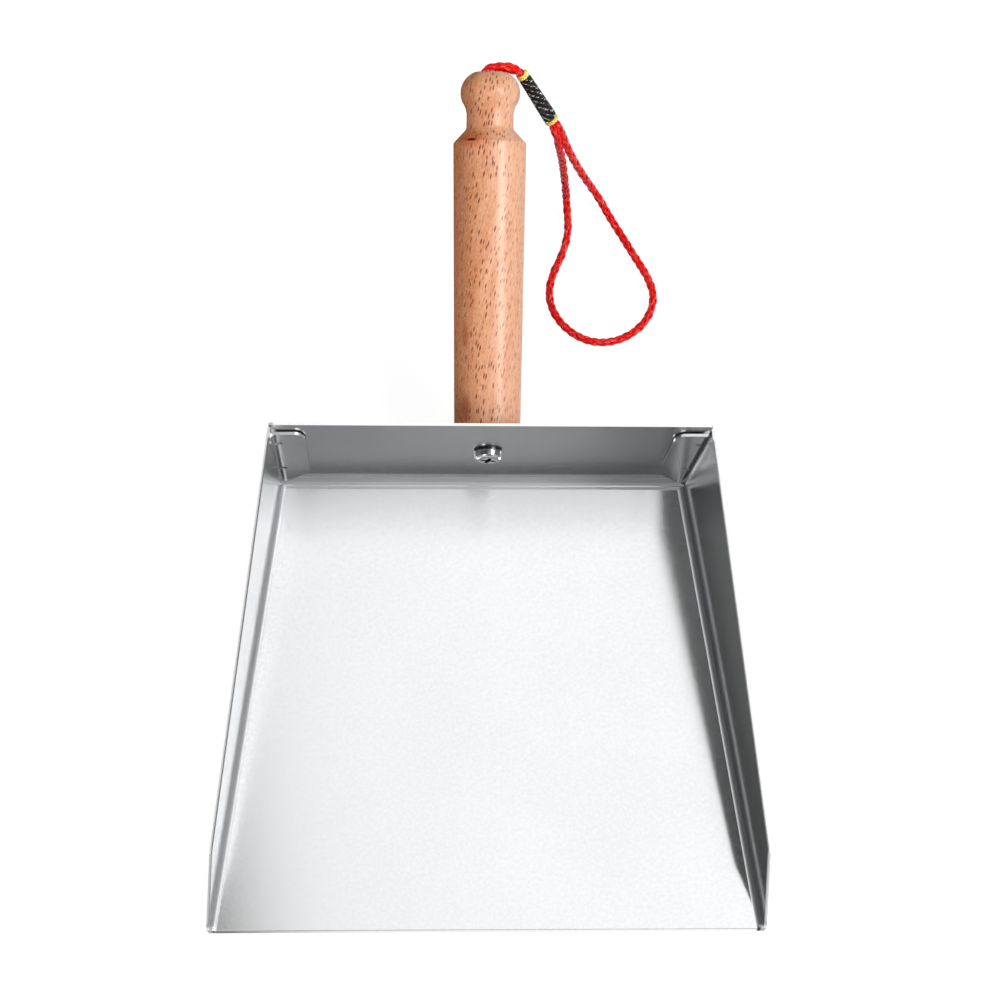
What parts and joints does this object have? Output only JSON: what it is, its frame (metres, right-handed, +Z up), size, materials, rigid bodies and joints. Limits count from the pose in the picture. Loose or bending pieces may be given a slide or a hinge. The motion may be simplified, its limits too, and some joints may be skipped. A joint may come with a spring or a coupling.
{
  "type": "dust pan",
  "caption": "Small hand dust pan: a folded steel tray with tapering side walls, a turned wooden handle that rises from its back wall, and a whipped cord loop to hang it by.",
  "frame": {"origin": "on the standing surface, under the middle of the pan and handle together", "axes": "+Y from the pan's mouth to the handle's end, +Z up, +X to the right seen from the mouth"},
  "size_m": [0.1602, 0.2409, 0.0731],
  "materials": {
    "pan_steel": "fine satin stainless sheet",
    "screw_steel": "bright zinc plate",
    "beech": "turned and oiled beech",
    "glue": "set wood glue",
    "red_cord": "glossy braided polypropylene",
    "yellow_thread": "glossy thread",
    "black_thread": "black thread with a silver strand"
  },
  "bodies": {
    "pan": {"pan_body": "pan_steel", "handle_screw": "screw_steel", "screw_washer": "screw_steel", "handle": "beech", "cord_glue": "glue", "cord_tails": "red_cord"},
    "lanyard": {"cord_neck": "red_cord", "wrapped_cord": "red_cord", "upper_binding": "yellow_thread", "whipping": "black_thread", "lower_binding": "yellow_thread", "cord_loop": "red_cord"}
  },
  "joints": [
    {"name": "lanyard_swing", "type": "hinge", "parent": "pan", "child": "lanyard", "pos_m": [0, 0.11935, 0.06753], "axis": [0, -0.3746, 0.9272], "range_deg": [0, 170]}
  ]
}
